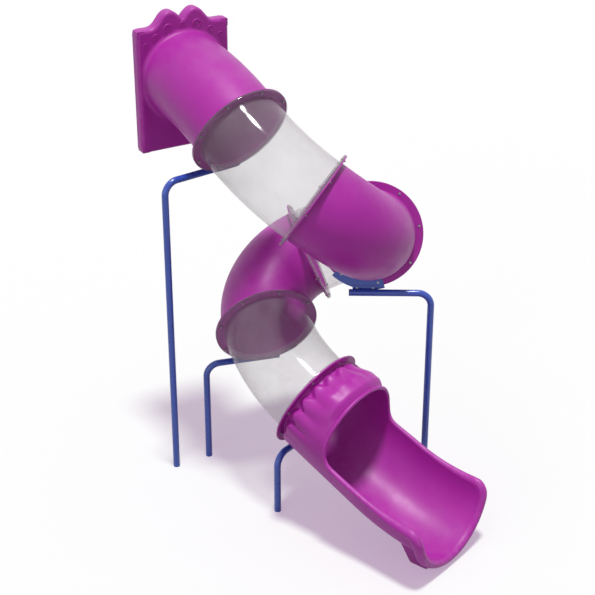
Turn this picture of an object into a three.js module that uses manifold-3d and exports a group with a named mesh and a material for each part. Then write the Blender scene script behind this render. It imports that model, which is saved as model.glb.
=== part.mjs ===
// Spiral tube slide: an entrance panel moulded in one with the first bend, five tube sections, an open
// exit chute and four bent pipe posts, all bolted together.
// Millimetres, +Z up. The rider leaves the deck along +X and turns left all the way down.
import * as THREE from "three";
import { mergeVertices } from "three/addons/utils/BufferGeometryUtils.js";
import Module from "manifold-3d";

const wasm = await Module();
wasm.setup();
const { Manifold } = wasm;

// Driving sizes of the tube
const boreDiameter = 762; // the usual 30 inch tube
const tubeWall = 6;
const flangeDiameter = 916;
const exitFlangeDiameter = 944;
const flangeThickness = 12;
const flangeFillet = 8;
const touchGap = 0.3; // between pieces that touch, because they lie in turned groups

// Driving sizes of the route: every section is one plane bend, and roll turns its plane about the tube
const entryBend = { angle: 29, radius: 1850, roll: -75 };
const upperBend = { angle: 32, radius: 1550, roll: -19 };
const rightBend = { angle: 92, radius: 583, roll: -21.6 };
const rearBend = { angle: 90, radius: 583, roll: -24.8 };
const leftBend = { angle: 90, radius: 583, roll: -23.3 };
const lowerBend = { angle: 32, radius: 1550, roll: -13.5 };

// Entrance panel
const panelWidth = 866;
const panelDepth = 100;
const panelWall = 8;
const panelEdgeRound = 30;
const panelBelowAxis = 647;
const shoulderAboveAxis = 452;
const humpRise = 132; // above the shoulder
const notchRise = 50; // above the shoulder, between the humps
const humpOffset = 113; // from the middle of the panel to each hump's top
const humpRoundness = 46;
const humpFootOffset = 318;
const panelCorner = 44;
const panelFootCorner = 40;
const panelCollarLength = 46;
const panelCollarSpread = 40;
const bossSize = 70; // the blocks that the deck bolts go into
const bossHole = 6;

// Exit chute
const exitWall = 8;
const exitBoreDiameter = 868; // the chute is wider than the tube that it takes the rider from
const exitFlare = 60; // the length in which it widens
const exitStraight = 880;
const exitCurveRadius = 1580;
const exitRunout = 30;
const exitFinalSlope = 1;
const exitEndHeight = 542.5; // from the ground to the centre line at its end; the route follows from it
const hoodLength = 395;
const fluteDepth = 22;
const fluteCount = 9; // round the whole circle; the hood shows those on its upper side
const fluteLowShare = -0.5; // of the radius above the centre line, where the flutes begin
const fluteHighShare = 0.1; // the same, where they are at their full depth
const rimBead = 15;
const rimCorner = 210;
const rimFlatAngle = 94; // from the top of the tube to the chute's rim, at the hood
const rimLowAngle = 87; // the same near the end
const rimEndAngle = 106;
const rimEndRound = 120;
const exitFootLength = 190; // on the ground
const exitFootWidth = 390;
const exitFootDraft = 84; // by which each end leans out, up to the block's top
const exitFootSideDraft = 110;
const exitFootFromEnd = 133;
const exitFootTopShare = 0.58; // of the bore radius, below the centre line: where the block is cut off

// Posts, of bent pipe, and what they carry the flanges with
const pipeDiameter = 60.3;
const pipeWall = 3.9;
const pipeBendRadius = 120;
const armOvershoot = 174; // past the flange's lowest point
const tallReach = 579;
const rightReach = 532;
const leftReach = 500;
const shortReach = 318;
const capThickness = 4;
const saddlePlate = 8;
const saddleReach = 26; // how far the saddle stands out past the flange
const saddleInset = 6; // between the flange's fillet and the saddle
const saddleNearAngle = -106; // on the post's side of the lowest point, which is -90
const saddleFarAngle = -48;
const lugLength = 216;
const lugRise = 10; // above the flange's rim, the lug starts inside it
const armDrop = 45; // from the rim to the arm's centre line, where the lug ends
const lugShift = 38;
const lugBoltSpacing = 140;
const lugBoltDrop = 13; // from the flange's rim to the lug bolts

// Bolts: M10 through the flanges, on a ring of eight of which the model holds every one named here
const boltRadius = 4.9;
const boltHole = 5.6;
const boltHeadRadius = 9;
const boltHeadHeight = 6.4;
const boltNutHeight = 8;
const boltTail = 4;
const boltSides = 6;
const boltRing = { count: 8, first: -100 };
const heldBolts = [0, 1, 3, 6];

// Fineness
const tubeSides = 24;
const exitSides = 40;
const bendStep = 13;
const pipeSides = 16;
const beadSides = 6;
const boltHoleSides = 8;
const outlineSteps = 4;
const edgeSteps = 2;
const overrun = 60; // how far a cut reaches past what it cuts
const weldDistance = 1e-4;

// Sizes that follow from the driving ones
const boreRadius = boreDiameter / 2;
const exitBoreRadius = exitBoreDiameter / 2;
const tubeRadius = boreRadius + tubeWall;
const flangeRadius = flangeDiameter / 2;
const exitFlangeRadius = exitFlangeDiameter / 2;
const boltCircle = (tubeRadius + flangeFillet + flangeRadius) / 2 + touchGap;
const pipeRadius = pipeDiameter / 2;
const rad = THREE.MathUtils.degToRad;

// Materials
const purple = new THREE.MeshStandardMaterial({ color: 0x9c2f93, roughness: 0.42, metalness: 0 });
const clear = new THREE.MeshStandardMaterial({
  color: 0xe9e4ea,
  roughness: 0.08,
  metalness: 0,
  transparent: true,
  opacity: 0.35,
});
const blue = new THREE.MeshStandardMaterial({ color: 0x233f9f, roughness: 0.35, metalness: 0.2 });
const zinc = new THREE.MeshStandardMaterial({ color: 0xb9bcc0, roughness: 0.3, metalness: 0.9 });
const capBlue = new THREE.MeshStandardMaterial({ color: 0x1b2a66, roughness: 0.6, metalness: 0 });

const slide = new THREE.Group();

// Geometry helpers
function solidFrom(numbers, corners) {
  const build = (triVerts) =>
    new Manifold(
      new wasm.Mesh({
        numProp: 3,
        vertProperties: new Float32Array(numbers),
        triVerts: new Uint32Array(triVerts),
      }),
    );
  const solid = build(corners);
  if (solid.volume() > 0) return solid;
  const turned = [];
  for (let i = 0; i < corners.length; i += 3) turned.push(corners[i], corners[i + 2], corners[i + 1]);
  return build(turned);
}

// A three.js geometry as a solid: its seams are welded and its empty faces dropped.
function solidOf(geometry) {
  const bare = new THREE.BufferGeometry();
  bare.setAttribute("position", geometry.getAttribute("position"));
  bare.setIndex(geometry.index);
  const welded = mergeVertices(bare, weldDistance);
  const index = welded.index.array;
  const corners = [];
  for (let i = 0; i < index.length; i += 3) {
    const [a, b, c] = [index[i], index[i + 1], index[i + 2]];
    if (a !== b && b !== c && c !== a) corners.push(a, b, c);
  }
  return solidFrom(welded.attributes.position.array, corners);
}

function geometryOf(solid) {
  const made = solid.getMesh();
  const geometry = new THREE.BufferGeometry();
  geometry.setAttribute("position", new THREE.BufferAttribute(made.vertProperties, 3));
  geometry.setIndex(new THREE.BufferAttribute(made.triVerts, 1));
  geometry.computeVertexNormals();
  return geometry;
}

function addPiece(group, name, solid, material) {
  const mesh = new THREE.Mesh(geometryOf(solid), material);
  mesh.name = name;
  group.add(mesh);
}

// A closed skin over a grid of points: each row closes on itself, and the last row meets the first.
function closedGrid(rows) {
  const across = rows[0].length;
  const numbers = rows.flat().flatMap((p) => [p.x, p.y, p.z]);
  const corners = [];
  rows.forEach((row, i) => {
    const here = i * across;
    const next = ((i + 1) % rows.length) * across;
    row.forEach((p, j) => {
      const k = (j + 1) % across;
      corners.push(here + j, next + j, next + k);
      corners.push(here + j, next + k, here + k);
    });
  });
  return solidFrom(numbers, corners);
}

// Like closedGrid, but open between the last row and the first: both ends get the cap's triangles.
function cappedGrid(rows, cap) {
  const across = rows[0].length;
  const numbers = rows.flat().flatMap((p) => [p.x, p.y, p.z]);
  const corners = [];
  for (let i = 0; i + 1 < rows.length; i += 1) {
    for (let j = 0; j < across; j += 1) {
      const k = (j + 1) % across;
      const here = i * across;
      const next = here + across;
      corners.push(here + j, next + j, next + k);
      corners.push(here + j, next + k, here + k);
    }
  }
  const last = (rows.length - 1) * across;
  cap.forEach(([a, b, c]) => corners.push(a, b, c, last + a, last + c, last + b));
  return solidFrom(numbers, corners);
}

// A ring of points round a place; radius is a number, or a function of the angle.
function ringAt(place, radius, sides) {
  return Array.from({ length: sides }, (_, i) => {
    const angle = (2 * Math.PI * i) / sides;
    const reach = typeof radius === "function" ? radius(angle) : radius;
    return along(place, Math.cos(angle) * reach, Math.sin(angle) * reach, 0);
  });
}

// A place has a point, the direction of travel, its left-hand side and the up that squares with both.
function placeAt(point, travel, left) {
  const side = left ?? new THREE.Vector3(-travel.y, travel.x, 0).normalize();
  return { point, travel, left: side, up: new THREE.Vector3().crossVectors(travel, side) };
}

function along(place, left, up, travel) {
  return place.point
    .clone()
    .addScaledVector(place.left, left)
    .addScaledVector(place.up, up)
    .addScaledVector(place.travel, travel);
}

function ahead(place, distance) {
  return { ...place, point: along(place, 0, 0, distance) };
}

function matrixOf(place) {
  const matrix = new THREE.Matrix4().makeBasis(place.left, place.up, place.travel);
  return matrix.setPosition(place.point);
}

function moved(solid, place) {
  return solid.transform(matrixOf(place).toArray());
}

// Route: the bends follow each other from the panel to the exit
function makeBend(start, { angle, radius, roll }) {
  const level = placeAt(start.point, start.travel);
  const towards = level.left
    .clone()
    .multiplyScalar(Math.cos(rad(roll)))
    .addScaledVector(level.up, Math.sin(rad(roll)));
  const axis = new THREE.Vector3().crossVectors(start.travel, towards);
  const at = (turn) => {
    const point = start.point
      .clone()
      .addScaledVector(start.travel, radius * Math.sin(turn))
      .addScaledVector(towards, radius * (1 - Math.cos(turn)));
    const travel = start.travel
      .clone()
      .multiplyScalar(Math.cos(turn))
      .addScaledVector(towards, Math.sin(turn));
    return placeAt(point, travel, new THREE.Vector3().crossVectors(axis, travel));
  };
  return { at, turn: rad(angle), radius };
}

// The whole route from an entrance at some height: its bends, and the joint at the end of each
function routeFrom(height) {
  const start = placeAt(new THREE.Vector3(0, 0, height), new THREE.Vector3(1, 0, 0));
  const laid = { entrance: start, bends: [], joints: [] };
  let reached = start;
  for (const sizes of [entryBend, upperBend, rightBend, rearBend, leftBend, lowerBend]) {
    const made = makeBend(reached, sizes);
    const end = made.at(made.turn);
    reached = placeAt(end.point, end.travel);
    laid.bends.push(made);
    laid.joints.push(reached);
  }
  return laid;
}

// Exit chute's line: straight on from the last flange, then curving up to a nearly level runout
function exitLine(joint) {
  const slope = Math.asin(-joint.travel.z);
  const turned = slope - rad(exitFinalSlope);
  const length = exitStraight + exitCurveRadius * turned + exitRunout;
  const at = (distance) => {
    if (distance <= exitStraight) return ahead(joint, distance);
    const turn = Math.min((distance - exitStraight) / exitCurveRadius, turned);
    const rest = distance - exitStraight - turn * exitCurveRadius;
    const base = ahead(joint, exitStraight);
    const rise = exitCurveRadius * (1 - Math.cos(turn));
    const point = along(base, 0, rise, exitCurveRadius * Math.sin(turn));
    const travel = base.travel
      .clone()
      .multiplyScalar(Math.cos(turn))
      .addScaledVector(base.up, Math.sin(turn));
    return ahead(placeAt(point, travel, base.left), rest);
  };
  return { at, length };
}

// The route is laid from the ground down first, to find how high its entrance has to be.
const trial = exitLine(routeFrom(0).joints.at(-1));
const entranceAxisHeight = exitEndHeight - trial.at(trial.length).point.z;
const { entrance, bends, joints } = routeFrom(entranceAxisHeight);
const [upperJoint, middleJoint, rightJoint, rearJoint, leftJoint, exitJoint] = joints;
const { at: exitPlace, length: exitLength } = exitLine(exitJoint);

// A rod of so many sides along the local Z
function rod(radius, sides, from, to) {
  const made = new THREE.CylinderGeometry(radius, radius, to - from, sides);
  return solidOf(made.rotateX(Math.PI / 2).translate(0, 0, (from + to) / 2));
}

// Bolts
function drill(solid, place, x, y, from, to) {
  const hole = rod(boltHole, boltHoleSides, from, to).translate([x, y, 0]);
  return solid.subtract(moved(hole, place));
}

function ringSpot(index) {
  const angle = rad(boltRing.first + (index * 360) / boltRing.count);
  return [Math.cos(angle) * boltCircle, Math.sin(angle) * boltCircle];
}

function drillRing(solid, place, from, to) {
  return heldBolts.reduce((rest, index) => {
    const [x, y] = ringSpot(index);
    return drill(rest, place, x, y, from, to);
  }, solid);
}

// A bolt with its nut: the head stands before one depth, and the nut after the other.
function boltBetween(from, to) {
  const head = from - touchGap;
  const nut = to + touchGap;
  const outline = [
    [0, head - boltHeadHeight],
    [boltHeadRadius, head - boltHeadHeight],
    [boltHeadRadius, head],
    [boltRadius, head],
    [boltRadius, nut],
    [boltHeadRadius, nut],
    [boltHeadRadius, nut + boltNutHeight],
    [boltRadius, nut + boltNutHeight],
    [boltRadius, nut + boltNutHeight + boltTail],
    [0, nut + boltNutHeight + boltTail],
  ];
  const profile = outline.map(([r, y]) => new THREE.Vector2(r, y));
  const turned = new THREE.LatheGeometry(profile, boltSides);
  return solidOf(turned.rotateX(Math.PI / 2));
}

// Tube sections
// A section's flanges stand square to its ends; where lead is given, its start has none and runs back.
function tubeSection(bend, lead = 0) {
  const start = bend.at(0);
  const end = bend.at(bend.turn);
  const half = touchGap / 2;
  const shoulder = flangeThickness + flangeFillet;
  const first = Math.asin((shoulder + flangeFillet) / (bend.radius - tubeRadius));
  const steps = Math.max(3, Math.round((bend.turn - 2 * first) / rad(bendStep)));
  const swept = bend.turn - 2 * first;
  const turns = Array.from({ length: steps + 1 }, (_, i) => first + (swept * i) / steps);
  const ring = (place, radius) => ringAt(place, radius, tubeSides);
  const flange = (place, side) => [
    ring(ahead(place, side * half), flangeRadius),
    ring(ahead(place, side * flangeThickness), flangeRadius),
    ring(ahead(place, side * flangeThickness), tubeRadius + flangeFillet),
    ring(ahead(place, side * shoulder), tubeRadius),
  ];
  return closedGrid([
    ...(lead ? [ring(ahead(start, -lead), tubeRadius)] : flange(start, 1)),
    ...turns.map((turn) => ring(bend.at(turn), tubeRadius)),
    ...flange(end, -1).reverse(),
    ring(ahead(end, -half), boreRadius),
    ...turns.map((turn) => ring(bend.at(turn), boreRadius)).reverse(),
    ring(ahead(start, lead ? -lead : half), boreRadius),
  ]);
}

function drillJoints(solid, ...ends) {
  const deep = flangeThickness + overrun / 4;
  return ends.reduce((rest, joint) => drillRing(rest, joint, -deep, deep), solid);
}

function addTubes() {
  const [, upper, right, rear, left, lower] = bends;
  const section = (name, bend, from, to, material) =>
    addPiece(slide, name, drillJoints(tubeSection(bend), from, to), material);
  section("upper_clear_tube", upper, upperJoint, middleJoint, clear);
  section("right_elbow", right, middleJoint, rightJoint, purple);
  section("rear_clear_elbow", rear, rightJoint, rearJoint, clear);
  section("left_elbow", left, rearJoint, leftJoint, purple);
  section("lower_clear_tube", lower, leftJoint, exitJoint, clear);
}

// Entrance panel: an open-backed moulded pan, in one piece with the tube's first bend
function panelOutline() {
  const half = panelWidth / 2;
  const foot = -panelBelowAxis;
  const top = shoulderAboveAxis;
  const peak = top + humpRise;
  const ease = (humpFootOffset - humpOffset) / 2;
  const inner = humpOffset - humpRoundness;
  const shape = new THREE.Shape();
  shape.moveTo(-half, foot + panelFootCorner);
  const footX = half - panelFootCorner;
  const footY = foot + panelFootCorner;
  shape.absarc(-footX, footY, panelFootCorner, Math.PI, 1.5 * Math.PI);
  shape.absarc(footX, footY, panelFootCorner, 1.5 * Math.PI, 2 * Math.PI);
  shape.absarc(half - panelCorner, top - panelCorner, panelCorner, 0, Math.PI / 2);
  shape.lineTo(humpFootOffset, top);
  shape.bezierCurveTo(humpFootOffset - ease, top, humpOffset + ease, peak, humpOffset, peak);
  shape.quadraticCurveTo(inner, peak, 0, top + notchRise);
  shape.quadraticCurveTo(-inner, peak, -humpOffset, peak);
  shape.bezierCurveTo(-humpOffset - ease, peak, ease - humpFootOffset, top, -humpFootOffset, top);
  shape.absarc(panelCorner - half, top - panelCorner, panelCorner, Math.PI / 2, Math.PI);
  shape.closePath();
  return shape;
}

// A fillet, hollow towards the corner, where the tube leaves the panel's front
function panelCollar() {
  const inner = boreRadius + tubeWall / 2;
  const steps = 4;
  const curve = Array.from({ length: steps + 1 }, (_, i) => {
    const turn = (Math.PI / 2) * (i / steps);
    const reach = tubeRadius + panelCollarSpread * (1 - Math.sin(turn));
    return new THREE.Vector2(reach, panelCollarLength * (1 - Math.cos(turn)));
  });
  const back = -panelWall / 2;
  const foot = new THREE.Vector2(curve[0].x, back);
  const inside = [new THREE.Vector2(inner, panelCollarLength), new THREE.Vector2(inner, back)];
  const outline = [foot, ...curve, ...inside, foot];
  const turned = new THREE.LatheGeometry(outline, tubeSides);
  return solidOf(turned.rotateX(Math.PI / 2).rotateZ(Math.PI / 2));
}

// Blocks in the pan's corners take the bolts that hold the panel to a deck's posts
function deckBosses() {
  const side = panelWidth / 2 - bossSize / 2 - panelWall / 2;
  const low = -panelBelowAxis + bossSize / 2 + panelWall / 2;
  const high = shoulderAboveAxis - bossSize / 2 - panelWall / 2;
  const depth = panelDepth - panelWall / 2;
  const spots = [-side, side].flatMap((x) => [low, high].map((y) => [x, y]));
  const within = panelSlab(panelWall / 2, -panelDepth, -panelWall / 2);
  return spots.map(([x, y]) => {
    const block = new THREE.BoxGeometry(bossSize, bossSize, depth);
    block.translate(x, y, depth / 2 - panelDepth);
    const hole = rod(bossHole, boltHoleSides, -panelDepth - overrun, -2 * panelWall);
    return solidOf(block).intersect(within).subtract(hole.translate([x, y, 0]));
  });
}

// A slab with the panel's outline between two depths along the travel, its front edge rounded
function panelSlab(inset, from, to) {
  const outline = panelOutline().getPoints(outlineSteps);
  if (outline[0].distanceTo(outline.at(-1)) < touchGap) outline.pop();
  const normals = outline.map((p, i) => {
    const before = outline.at(i - 1);
    const after = outline[(i + 1) % outline.length];
    const towards = p.clone().sub(before).normalize().add(after.clone().sub(p).normalize());
    return new THREE.Vector2(towards.y, -towards.x).normalize();
  });
  const round = panelEdgeRound - inset;
  const loop = (turn, depth) => {
    const drawn = inset + round * (1 - Math.cos(turn));
    return outline.map((p, i) => {
      const q = p.clone().addScaledVector(normals[i], -drawn);
      return new THREE.Vector3(q.x, q.y, depth + round * Math.sin(turn));
    });
  };
  const turns = Array.from({ length: edgeSteps + 1 }, (_, i) => (Math.PI / 2) * (i / edgeSteps));
  const loops = [loop(0, from), ...turns.map((turn) => loop(turn, to - round))];
  return cappedGrid(loops, THREE.ShapeUtils.triangulateShape(outline, []));
}

function addEntrance() {
  const inner = boreRadius + tubeWall / 2;
  const way = rod(inner, tubeSides, -panelDepth - overrun, panelDepth);
  const hollow = panelSlab(panelWall, -panelDepth - overrun, -panelWall);
  const pan = panelSlab(0, -panelDepth, 0).subtract(hollow);
  const pieces = [panelCollar(), ...deckBosses()];
  const filled = pieces.reduce((sum, piece) => sum.add(piece), pan);
  const panel = filled.subtract(way);
  const solid = moved(panel, entrance).add(tubeSection(bends[0], panelDepth));
  addPiece(slide, "entrance_panel", drillJoints(solid, upperJoint), purple);
}

// Exit chute
// The chute widens behind its flange, and flutes are pressed into the upper side of its hood.
function chuteRadius(distance, wall) {
  const widen = THREE.MathUtils.smoothstep(distance, flangeThickness, exitFlare);
  const radius = boreRadius + (exitBoreRadius - boreRadius) * widen + wall;
  const fade = 1 - THREE.MathUtils.smoothstep(distance, hoodLength, hoodLength + rimCorner);
  return (angle) => {
    const upper = THREE.MathUtils.smoothstep(Math.sin(angle), fluteLowShare, fluteHighShare);
    const wave = Math.abs(Math.cos((fluteCount * (angle - Math.PI / 2)) / 2));
    return radius - widen * fade * upper * fluteDepth * (1 - wave);
  };
}

// The chute's rim, as an angle from the top of the tube on both sides
function rimAngle(distance) {
  const corner = THREE.MathUtils.clamp((distance - hoodLength) / rimCorner, 0, 1);
  const run = THREE.MathUtils.clamp((distance - hoodLength) / (exitLength - hoodLength), 0, 1);
  const last = THREE.MathUtils.clamp((distance - exitLength + rimEndRound) / rimEndRound, 0, 1);
  const open = rimFlatAngle * Math.sqrt(1 - (1 - corner) ** 3);
  const low = (rimLowAngle - rimFlatAngle) * run;
  const end = (rimEndAngle - rimLowAngle) * (1 - Math.sqrt(1 - last ** 2));
  return rad(open + low + end);
}

const rimSpread = 1.6; // steps along the rim start short, at the hood's corner, and grow
const leastOpening = rad(3);
const exitRings = 15;
const exitStops = Array.from({ length: exitRings + 1 }, (_, i) => {
  const from = flangeThickness + 2 * flangeFillet;
  return from + ((exitLength - from) * i) / exitRings;
});

function exitRing(distance, radius) {
  return ringAt(exitPlace(distance), radius, exitSides);
}

function exitShell() {
  const half = touchGap / 2;
  return closedGrid([
    exitRing(half, exitFlangeRadius),
    exitRing(flangeThickness, exitFlangeRadius),
    exitRing(flangeThickness, boreRadius + exitWall + flangeFillet),
    ...exitStops.map((stop) => exitRing(stop, chuteRadius(stop, exitWall))),
    ...exitStops.map((stop) => exitRing(stop, chuteRadius(stop, 0))).reverse(),
    exitRing(half, boreRadius),
  ]);
}

// What is cut away above the rim: a wedge of the tube's round, growing wider from the hood to the end
function exitCutter() {
  const slices = 26;
  const arcSteps = 10;
  const loops = Array.from({ length: slices + 1 }, (_, i) => {
    const share = (i / slices) ** rimSpread;
    const distance = hoodLength + touchGap + (exitLength + overrun - hoodLength) * share;
    const open = Math.max(rimAngle(distance), leastOpening);
    const place = exitPlace(distance);
    const arc = (reach, from, to) =>
      Array.from({ length: arcSteps + 1 }, (_, k) => {
        const angle = Math.PI / 2 + from + ((to - from) * k) / arcSteps;
        return along(place, Math.cos(angle) * reach, Math.sin(angle) * reach, 0);
      });
    return [...arc(flangeDiameter, -open, open), ...arc(boreRadius / 2, open, -open)];
  });
  const cap = Array.from({ length: arcSteps }, (_, j) => {
    const opposite = 2 * arcSteps + 1 - j;
    return [
      [j, j + 1, opposite],
      [j + 1, opposite - 1, opposite],
    ];
  });
  return cappedGrid(loops, cap.flat());
}

// The rolled rim: a bead round the hood's mouth, down both sides and round the end
function exitRim() {
  const sideSteps = 22;
  const endSteps = 10;
  const last = exitLength - touchGap;
  const spot = (distance, angle) => {
    const place = exitPlace(distance);
    const reach = chuteRadius(distance, exitWall / 2)(angle);
    const outward = place.left
      .clone()
      .multiplyScalar(Math.cos(angle))
      .addScaledVector(place.up, Math.sin(angle));
    return { point: place.point.clone().addScaledVector(outward, reach), outward };
  };
  const spots = [];
  for (let i = 0; i <= sideSteps; i += 1) {
    const distance = hoodLength + (last - hoodLength) * (i / sideSteps) ** rimSpread;
    spots.push(spot(distance, Math.PI / 2 + rimAngle(distance)));
  }
  const wide = rimAngle(last);
  for (let i = 1; i < endSteps; i += 1) {
    spots.push(spot(last, Math.PI / 2 + wide + ((2 * Math.PI - 2 * wide) * i) / endSteps));
  }
  for (let i = sideSteps; i > 0; i -= 1) {
    const distance = hoodLength + (last - hoodLength) * (i / sideSteps) ** rimSpread;
    spots.push(spot(distance, Math.PI / 2 - rimAngle(distance)));
  }
  const rows = spots.map(({ point, outward }, i) => {
    const before = spots[(i + spots.length - 1) % spots.length].point;
    const after = spots[(i + 1) % spots.length].point;
    const travel = after.clone().sub(before).normalize();
    const across = new THREE.Vector3().crossVectors(travel, outward).normalize();
    const out = new THREE.Vector3().crossVectors(across, travel);
    return Array.from({ length: beadSides }, (_, k) => {
      const angle = (2 * Math.PI * k) / beadSides;
      return point
        .clone()
        .addScaledVector(out, rimBead * Math.cos(angle))
        .addScaledVector(across, rimBead * Math.sin(angle));
    });
  });
  return closedGrid(rows);
}

// A tapered block on the ground, hollowed out above to the round of the chute
function exitFoot() {
  const place = exitPlace(exitLength - exitFootFromEnd - exitFootLength / 2);
  const height = place.point.z - exitFootTopShare * exitBoreRadius;
  const bottom = [exitFootLength / 2, exitFootWidth / 2];
  const top = [bottom[0] + exitFootDraft, bottom[1] + exitFootSideDraft];
  const level = ([x, y], z) => [
    new THREE.Vector3(x, y, z),
    new THREE.Vector3(-x, y, z),
    new THREE.Vector3(-x, -y, z),
    new THREE.Vector3(x, -y, z),
  ];
  const faces = [
    [0, 1, 2],
    [0, 2, 3],
  ];
  const block = cappedGrid([level(bottom, 0), level(top, height)], faces);
  const heading = Math.atan2(place.travel.y, place.travel.x);
  const chute = closedGrid([
    ...exitStops.map((stop) => exitRing(stop, chuteRadius(stop, exitWall + touchGap))),
    ...exitStops.map((stop) => exitRing(stop, boreRadius / 2)).reverse(),
  ]);
  const turned = block.rotate([0, 0, THREE.MathUtils.radToDeg(heading)]);
  return turned.translate([place.point.x, place.point.y, 0]).subtract(chute);
}

function addExit() {
  const shell = exitShell().subtract(exitCutter()).add(exitRim());
  addPiece(slide, "exit_chute", drillJoints(shell, exitJoint), purple);
  addPiece(slide, "exit_foot", exitFoot(), purple);
}

// Posts and what holds the flanges on them. Side says which face of the joint carries the saddle: -1 is
// the upper one, and 1 the lower.
const supports = [
  { name: "tall", joint: upperJoint, reach: tallReach, rim: flangeRadius, side: -1 },
  { name: "right", joint: rightJoint, reach: rightReach, rim: flangeRadius, side: -1 },
  { name: "left", joint: leftJoint, reach: leftReach, rim: flangeRadius, side: -1 },
  { name: "short", joint: exitJoint, reach: shortReach, rim: exitFlangeRadius, side: 1 },
];
// Out from the joint come the flange, the saddle, the arm's lug and the arm itself.
const saddleAt = flangeThickness + touchGap;
const lugAt = saddleAt + saddlePlate + touchGap;
const armAt = lugAt + saddlePlate + touchGap + pipeRadius;

function saddleSolid({ rim, side }) {
  const from = rad(saddleNearAngle);
  const to = rad(saddleFarAngle);
  const inner = tubeRadius + flangeFillet + saddleInset;
  const shape = new THREE.Shape();
  shape.absarc(0, 0, rim + saddleReach, from, to, false);
  shape.absarc(0, 0, inner, to, from, true);
  shape.closePath();
  const plate = new THREE.ExtrudeGeometry(shape, {
    depth: saddlePlate,
    bevelEnabled: false,
    curveSegments: 14,
  });
  return solidOf(plate.translate(0, 0, side < 0 ? -saddleAt - saddlePlate : saddleAt));
}

function lugBolts({ rim }) {
  const y = -(rim + lugBoltDrop);
  return [-1, 1].map((way) => [lugShift + (way * lugBoltSpacing) / 2, y]);
}

function lugSolid({ rim, side }) {
  const height = lugRise + armDrop;
  const box = new THREE.BoxGeometry(lugLength, height, saddlePlate);
  return solidOf(box.translate(lugShift, lugRise - rim - height / 2, side * (lugAt + saddlePlate / 2)));
}

// The arm's centre line, as a point below the flange's lowest point
function armPoint({ joint, rim, side }) {
  return along(joint, 0, -(rim + armDrop), side * armAt);
}

// A bent pipe in its own frame: up from the origin, then along +X
function postSolid(height, length) {
  const bendSteps = 6;
  const up = new THREE.Vector3(0, 0, 1);
  const side = new THREE.Vector3(0, 1, 0);
  const upright = placeAt(new THREE.Vector3(), up, side);
  const places = [upright];
  for (let i = 0; i <= bendSteps; i += 1) {
    const turn = ((Math.PI / 2) * i) / bendSteps;
    const point = new THREE.Vector3(
      pipeBendRadius * (1 - Math.cos(turn)),
      0,
      height - pipeBendRadius * (1 - Math.sin(turn)),
    );
    const travel = new THREE.Vector3(Math.sin(turn), 0, Math.cos(turn));
    places.push(placeAt(point, travel, side));
  }
  const armEnd = placeAt(new THREE.Vector3(length, 0, height), new THREE.Vector3(1, 0, 0), side);
  places.push(armEnd);
  const outside = places.map((place) => ringAt(place, pipeRadius, pipeSides));
  const inside = places.map((place) => ringAt(place, pipeRadius - pipeWall, pipeSides)).reverse();
  return closedGrid([...outside, ...inside]);
}

function capSolid(height, length) {
  const cap = new THREE.CylinderGeometry(pipeRadius, pipeRadius, capThickness, pipeSides);
  cap.rotateZ(Math.PI / 2);
  return solidOf(cap.translate(length + touchGap + capThickness / 2, 0, height));
}

function addSupport(support) {
  const { name, joint, reach, side } = support;
  const arm = armPoint(support);
  const foot = arm.clone().addScaledVector(joint.left, -reach);
  const post = new THREE.Group();
  post.position.set(foot.x, foot.y, 0);
  post.rotation.z = Math.atan2(joint.left.y, joint.left.x);
  const length = reach + armOvershoot;
  addPiece(post, `${name}_post`, postSolid(arm.z, length), blue);
  addPiece(post, `${name}_arm_cap`, capSolid(arm.z, length), capBlue);
  slide.add(post);

  const holder = new THREE.Group();
  holder.applyMatrix4(matrixOf(joint));
  const local = placeAt(new THREE.Vector3(), new THREE.Vector3(0, 0, 1), new THREE.Vector3(1, 0, 0));
  const deep = lugAt + overrun / 2;
  let saddle = saddleSolid(support);
  let lug = lugSolid(support);
  for (const index of heldBolts.slice(0, 2)) {
    const [x, y] = ringSpot(index);
    saddle = drill(saddle, local, x, y, -deep, deep);
  }
  const faces = [side * saddleAt, side * (lugAt + saddlePlate)].sort((a, b) => a - b);
  lugBolts(support).forEach(([x, y], i) => {
    saddle = drill(saddle, local, x, y, -deep, deep);
    lug = drill(lug, local, x, y, -deep, deep);
    addPiece(holder, `${name}_lug_bolt_${i + 1}`, boltBetween(...faces).translate([x, y, 0]), zinc);
  });
  addPiece(holder, `${name}_saddle`, saddle, blue);
  addPiece(holder, `${name}_arm_lug`, lug, blue);
  slide.add(holder);
}

function addFlangeBolts() {
  const names = ["upper", "middle", "right", "rear", "left", "exit"];
  joints.forEach((joint, i) => {
    const group = new THREE.Group();
    group.applyMatrix4(matrixOf(joint));
    const support = supports.find((one) => one.joint === joint);
    heldBolts.forEach((index, k) => {
      const [x, y] = ringSpot(index);
      const carries = support && k < 2;
      const upper = carries && support.side < 0 ? saddleAt + saddlePlate : flangeThickness;
      const lower = carries && support.side > 0 ? saddleAt + saddlePlate : flangeThickness;
      const bolt = boltBetween(-upper, lower).translate([x, y, 0]);
      addPiece(group, `${names[i]}_flange_bolt_${k + 1}`, bolt, zinc);
    });
    slide.add(group);
  });
}

addEntrance();
addTubes();
addExit();
supports.forEach(addSupport);
addFlangeBolts();

// The origin is the middle of the whole slide's footprint, on the ground
const bounds = new THREE.Box3().setFromObject(slide);
const middle = bounds.getCenter(new THREE.Vector3());
const assembly = new THREE.Group();
slide.position.set(-middle.x, -middle.y, 0);
assembly.add(slide);
assembly.updateMatrixWorld(true);

export default assembly;
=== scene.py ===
"""Looks of the spiral tube slide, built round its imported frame.

Metres, +Z up. The rider leaves the deck along +X and turns left all the way down. Most surfaces are grids
of points, worked out from the sizes below. These follow the CAD source, except for the hood's finer petals,
its swell and the rolled lip. The saddle and lug plates are the CAD's own, with softened edges.
"""

import math
from types import SimpleNamespace

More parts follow.
